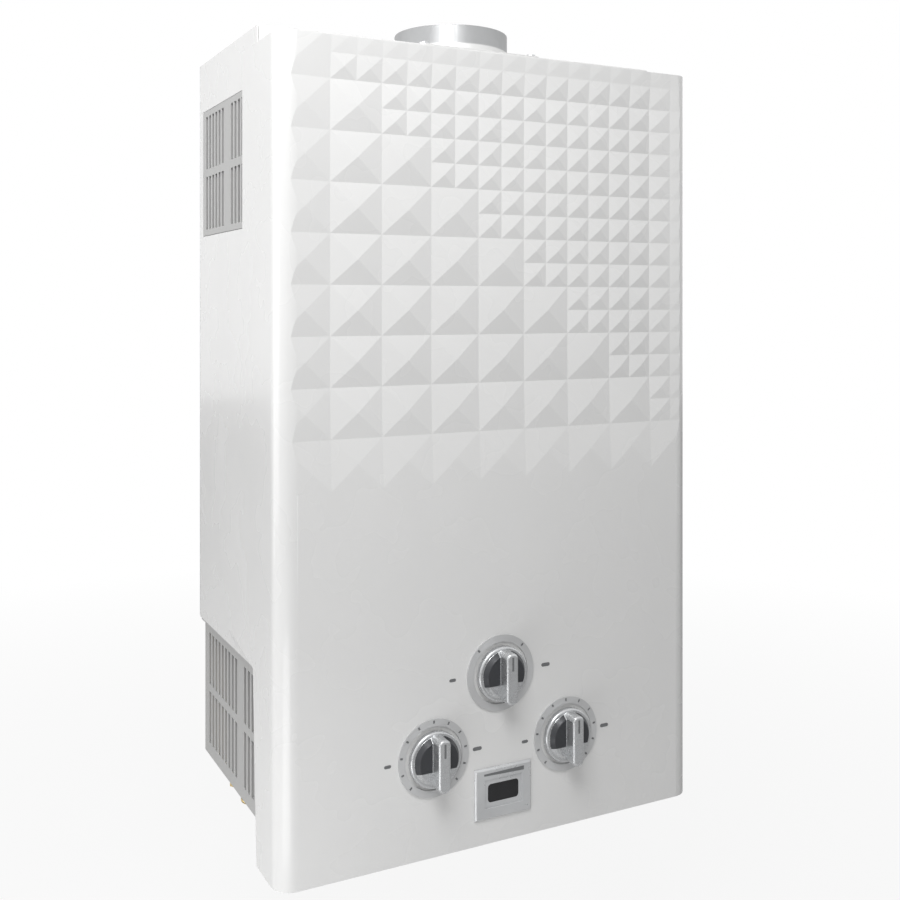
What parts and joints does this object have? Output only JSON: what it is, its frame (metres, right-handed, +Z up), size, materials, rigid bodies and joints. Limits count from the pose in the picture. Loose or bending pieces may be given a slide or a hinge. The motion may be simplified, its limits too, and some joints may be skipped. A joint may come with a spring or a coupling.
{
  "type": "wall-hung gas water heater",
  "caption": "Wall-hung flue-type instant gas water heater with an embossed white cover, knobs, side grilles and a round flue collar.",
  "frame": {"origin": "seat of the hanging keyhole, on the plane of the wall, at mid-width of the casing", "axes": "+Z up, +Y into the wall, so the front faces -Y, and +X to the right as seen from the front"},
  "size_m": [0.336, 0.2225, 0.5988],
  "materials": {
    "casing_enamel": "smooth semi-gloss white powder coat",
    "grille_enamel": "satin light grey coat",
    "zinc_steel": "dull galvanised sheet",
    "collar_steel": "semi-gloss white coat",
    "copper": "bright copper, lightly tinned",
    "fin_copper": "thin copper sheet",
    "burner_steel": "stainless sheet, matt",
    "cast_alloy": "die-cast, matt",
    "brass": "machined brass, satin",
    "spring_steel": "spring wire",
    "screw_steel": "zinc-plated steel",
    "rubber": "moulded, matt",
    "ceramic": "glazed white ceramic",
    "knob_grey": "silver-grey satin gloss moulding",
    "dial_grey": "pale silver ring",
    "bezel_grey": "silver-grey moulding",
    "lens_dark": "dark smoked window",
    "board_green": "lacquered circuit board",
    "black_plastic": "moulded black",
    "white_plastic": "moulded off-white",
    "blue_plastic": "wound coil can, blue tape",
    "cell_wrap": "printed cell wrap, unmarked"
  },
  "bodies": {
    "casing": {"front_cover": "casing_enamel", "back_plate": "zinc_steel", "right_side_panel": "casing_enamel", "left_side_panel": "casing_enamel", "top_panel": "casing_enamel", "bottom_panel": "zinc_steel", "upper_side_grilles": "grille_enamel", "lower_side_grilles": "grille_enamel", "flue_collar": "collar_steel", "draught_hood": "zinc_steel", "combustion_chamber": "copper", "chamber_coil": "copper", "exchanger_casing": "copper", "exchanger_fins": "fin_copper", "exchanger_tubes": "copper", "overheat_cutout": "black_plastic", "core_brackets": "zinc_steel", "burner_rack": "burner_steel", "burner_blades": "burner_steel", "electrodes": "ceramic", "gas_manifold": "cast_alloy", "gas_nozzles": "brass", "season_valve_body": "cast_alloy", "gas_valve_body": "cast_alloy", "valve_bonnet": "brass", "solenoid_coil": "blue_plastic", "water_valve_body": "brass", "water_valve_cap": "brass", "diaphragm": "rubber", "return_spring": "spring_steel", "microswitch": "black_plastic", "gas_nipple": "brass", "cold_nipple": "brass", "hot_nipple": "brass", "inlet_filter": "burner_steel", "pipe_nuts": "brass", "cold_pipe": "copper", "hot_pipe": "copper", "drain_plug": "white_plastic", "knob_dials": "dial_grey", "display_bezel": "bezel_grey", "display_lens": "lens_dark", "display_board": "board_green", "igniter_box": "black_plastic", "battery_box": "black_plastic", "batteries": "cell_wrap", "battery_contacts": "spring_steel", "lid_pin": "screw_steel", "screws": "screw_steel"},
    "gas_control": {"gas_knob": "knob_grey", "gas_spindle": "brass"},
    "water_control": {"water_knob": "knob_grey", "water_spindle": "brass"},
    "season_control": {"season_knob": "knob_grey", "season_spindle": "brass"},
    "lid": {"battery_lid": "black_plastic"},
    "valve_rod": {"push_rod": "brass"},
    "lever": {"switch_lever": "screw_steel"},
    "poppet": {"gas_poppet": "brass"},
    "plunger": {"solenoid_plunger": "screw_steel"}
  },
  "joints": [
    {"name": "gas_turn", "type": "hinge", "parent": "casing", "child": "gas_control", "pos_m": [-0.056, -0.204, -0.517], "axis": [0, 1, 0], "range_deg": [-135, 135]},
    {"name": "water_turn", "type": "hinge", "parent": "casing", "child": "water_control", "pos_m": [0.052, -0.204, -0.519], "axis": [0, 1, 0], "range_deg": [-135, 135]},
    {"name": "season_turn", "type": "hinge", "parent": "casing", "child": "season_control", "pos_m": [-0.003, -0.204, -0.466], "axis": [0, 1, 0], "range_deg": [-45, 45]},
    {"name": "lid_swing", "type": "hinge", "parent": "casing", "child": "lid", "pos_m": [0.1226, -0.0853, -0.564], "axis": [1, 0, 0], "range_deg": [0, 100]},
    {"name": "rod_slide", "type": "slide", "parent": "casing", "child": "valve_rod", "axis": [-1, 0, 0], "range_m": [0, 0.004], "stiffness_N_per_m": 800, "springref_m": -0.002, "deforming": ["return_spring"]},
    {"name": "lever_swing", "type": "hinge", "parent": "casing", "child": "lever", "pos_m": [0.002, -0.098, -0.537], "axis": [0, -1, 0], "range_deg": [0, 22.5]},
    {"name": "poppet_slide", "type": "slide", "parent": "casing", "child": "poppet", "axis": [-1, 0, 0], "range_m": [0, 0.004]},
    {"name": "plunger_slide", "type": "slide", "parent": "casing", "child": "plunger", "axis": [1, 0, 0], "range_m": [0, 0.0025], "stiffness_N_per_m": 400, "springref_m": -0.001}
  ],
  "couplings": [
    {"joint": "lever_swing", "follows": "rod_slide", "rad_per_m": 95.127},
    {"joint": "poppet_slide", "follows": "rod_slide", "ratio": 1}
  ]
}
